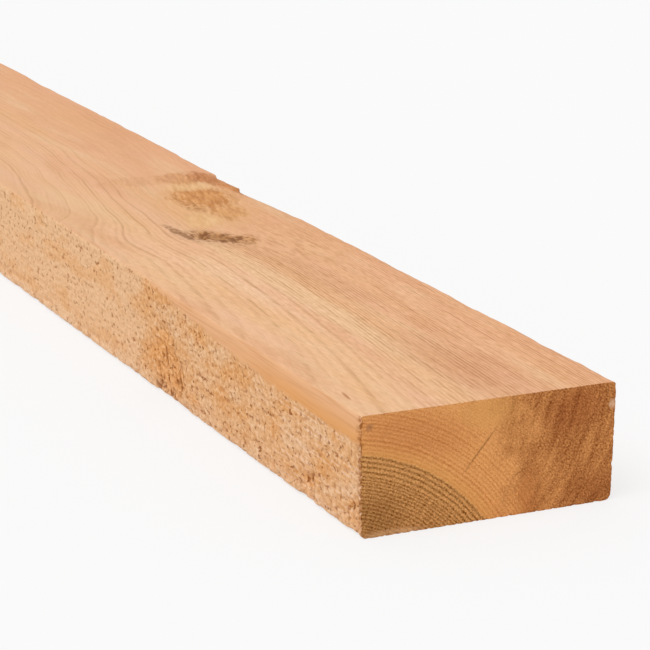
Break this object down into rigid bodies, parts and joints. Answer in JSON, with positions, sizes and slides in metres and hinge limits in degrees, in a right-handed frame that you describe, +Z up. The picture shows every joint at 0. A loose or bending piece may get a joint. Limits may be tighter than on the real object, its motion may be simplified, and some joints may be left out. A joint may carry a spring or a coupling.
{
  "type": "timber plank",
  "caption": "Straight length of softwood framing timber with eased arrises, planed faces, one edge part planed and part rough from the saw, and square-cut ends.",
  "frame": {"origin": "middle of the bottom wide face, on the surface that the plank lies on", "axes": "+X along the grain towards the near end, +Y across the width towards the planed far edge, +Z up through the thickness"},
  "size_m": [2.4384, 0.0904, 0.0397],
  "materials": {
    "softwood": "matte"
  },
  "bodies": {
    "root": {"plank": "softwood"}
  },
  "joints": []
}
